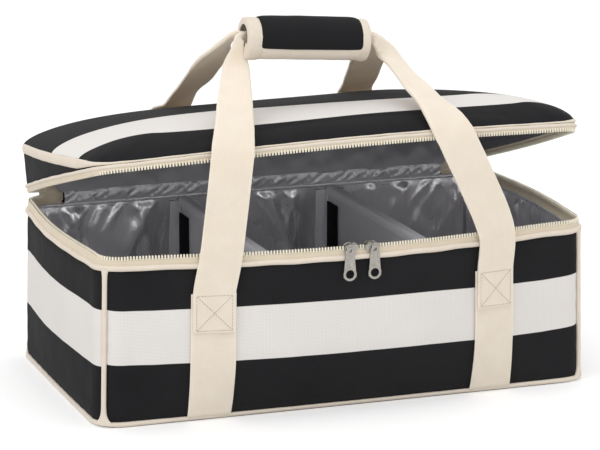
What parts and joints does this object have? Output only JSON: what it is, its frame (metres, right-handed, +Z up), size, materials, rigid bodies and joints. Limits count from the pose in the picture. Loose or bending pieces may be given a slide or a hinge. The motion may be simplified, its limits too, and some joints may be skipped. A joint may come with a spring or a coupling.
{
  "type": "insulated food delivery bag",
  "caption": "Low padded delivery bag with a zipped, domed lid held open, movable dividers and two webbing handles joined by a wrapped grip.",
  "frame": {"origin": "centre of the flat underside of the tub", "axes": "+X along the long side to the viewer's right, +Y from the zip side to the hinge side, +Z up"},
  "size_m": [0.4906, 0.3283, 0.3474],
  "materials": {
    "black_cloth": "coated woven polyester, black with one white stripe, matt",
    "cream_webbing": "ribbed woven webbing, cream, matt",
    "cream_trim": "bias binding and piping, cream, matt",
    "zip_cream": "woven zip tape and nylon coil, cream",
    "foil_lining": "wrinkled metallised film, grey, glossy",
    "foam": "closed-cell foam sheet, hidden between shell and lining",
    "base_board": "flat plastic stiffener",
    "hook_tape": "hook tape, black",
    "divider_cloth": "foam divider covered in grey film, light grey bound edge",
    "nickel": "dark nickel plate, worn"
  },
  "bodies": {
    "tub": {"base_panel": "black_cloth", "base_board": "base_board", "base_foam": "foam", "lining_floor": "foil_lining", "base_piping": "cream_trim", "front_panel": "black_cloth", "front_foam": "foam", "front_corner_piping": "cream_trim", "right_panel": "black_cloth", "right_foam": "foam", "right_corner_piping": "cream_trim", "back_panel": "black_cloth", "back_foam": "foam", "back_corner_piping": "cream_trim", "left_panel": "black_cloth", "left_foam": "foam", "left_corner_piping": "cream_trim", "lining_walls": "foil_lining", "rim_piping": "cream_trim", "tub_zip_tape": "zip_cream", "tub_zip_chain": "zip_cream", "tub_hinge_fabric": "black_cloth", "front_left_lower_webbing": "cream_webbing", "front_left_sewn_end": "cream_webbing", "front_right_lower_webbing": "cream_webbing", "front_right_sewn_end": "cream_webbing", "rear_left_lower_webbing": "cream_webbing", "rear_left_sewn_end": "cream_webbing", "rear_right_lower_webbing": "cream_webbing", "rear_right_sewn_end": "cream_webbing"},
    "lid": {"lid_top_panel": "black_cloth", "lid_top_foam": "foam", "lid_top_lining": "foil_lining", "lid_seam_binding": "cream_trim", "lid_gusset": "black_cloth", "lid_side_foam": "foam", "lid_side_lining": "foil_lining", "lid_rim_piping": "cream_trim", "lid_zip_tape": "zip_cream", "lid_zip_chain": "zip_cream", "lid_hinge_fabric": "black_cloth"},
    "front_handle": {"front_handle": "cream_webbing"},
    "rear_handle": {"rear_handle": "cream_webbing", "grip_wrap": "black_cloth", "grip_binding_left": "cream_trim", "grip_binding_right": "cream_trim", "grip_flap_binding": "cream_trim", "grip_closure_tape": "hook_tape"},
    "slider_left": {"slider_left": "nickel"},
    "pull_left": {"pull_left": "nickel"},
    "slider_right": {"slider_right": "nickel"},
    "pull_right": {"pull_right": "nickel"},
    "divider_left": {"divider_left": "divider_cloth", "divider_left_rear_tape": "hook_tape", "divider_left_front_tape": "hook_tape"},
    "divider_right": {"divider_right": "divider_cloth", "divider_right_rear_tape": "hook_tape", "divider_right_front_tape": "hook_tape"}
  },
  "joints": [
    {"name": "lid_hinge", "type": "hinge", "parent": "tub", "child": "lid", "pos_m": [0, 0.137, 0.1576], "axis": [-1, 0, 0], "range_deg": [-17, 0]},
    {"name": "front_handle_swing", "type": "hinge", "parent": "tub", "child": "front_handle", "pos_m": [0, -0.1592, 0.1213], "axis": [1, 0, 0], "range_deg": [0, 130]},
    {"name": "rear_handle_swing", "type": "hinge", "parent": "tub", "child": "rear_handle", "pos_m": [0, 0.1475, 0.1213], "axis": [-1, 0, 0], "range_deg": [0, 130]},
    {"name": "slider_left_run", "type": "hinge", "parent": "tub", "child": "slider_left", "pos_m": [0, 0.5, 0.1576], "axis": [0, 0, -1], "range_deg": [0, 7.5]},
    {"name": "slider_right_run", "type": "hinge", "parent": "tub", "child": "slider_right", "pos_m": [0, 0.5, 0.1576], "axis": [0, 0, 1], "range_deg": [0, 7.5]},
    {"name": "pull_left_swing", "type": "hinge", "parent": "slider_left", "child": "pull_left", "pos_m": [-0.01189, -0.16704, 0.1576], "axis": [-0.9998, 0.0187, 0], "range_deg": [0, 120]},
    {"name": "pull_right_swing", "type": "hinge", "parent": "slider_right", "child": "pull_right", "pos_m": [0.01189, -0.16704, 0.1576], "axis": [-0.9998, -0.0187, 0], "range_deg": [0, 120]},
    {"name": "divider_left_shift", "type": "slide", "parent": "tub", "child": "divider_left", "axis": [1, 0, 0], "range_m": [-0.008, 0.008]},
    {"name": "divider_right_shift", "type": "slide", "parent": "tub", "child": "divider_right", "axis": [1, 0, 0], "range_m": [-0.008, 0.008]}
  ]
}
